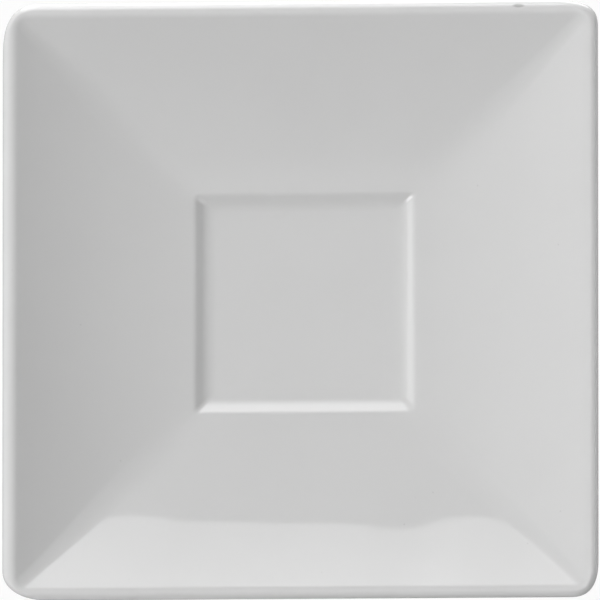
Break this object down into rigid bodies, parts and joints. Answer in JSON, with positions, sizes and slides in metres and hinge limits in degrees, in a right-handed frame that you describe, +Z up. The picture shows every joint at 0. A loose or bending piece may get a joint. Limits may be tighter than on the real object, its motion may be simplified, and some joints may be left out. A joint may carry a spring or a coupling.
{
  "type": "saucer",
  "caption": "Square white porcelain saucer with curved sloping sides, a rounded rim, a square cup well in the middle and a bare square foot ring under it.",
  "frame": {"origin": "on the table, under the middle of the saucer, in the plane of the foot ring's standing face", "axes": "+Z up out of the cup well; X and Y square to the straight sides, which are alike"},
  "size_m": [0.15, 0.15, 0.021],
  "materials": {
    "glaze": "gloss",
    "biscuit": "matte"
  },
  "bodies": {
    "root": {"porcelain_body": "biscuit", "glaze_coat": "glaze", "base_glaze": "glaze"}
  },
  "joints": []
}
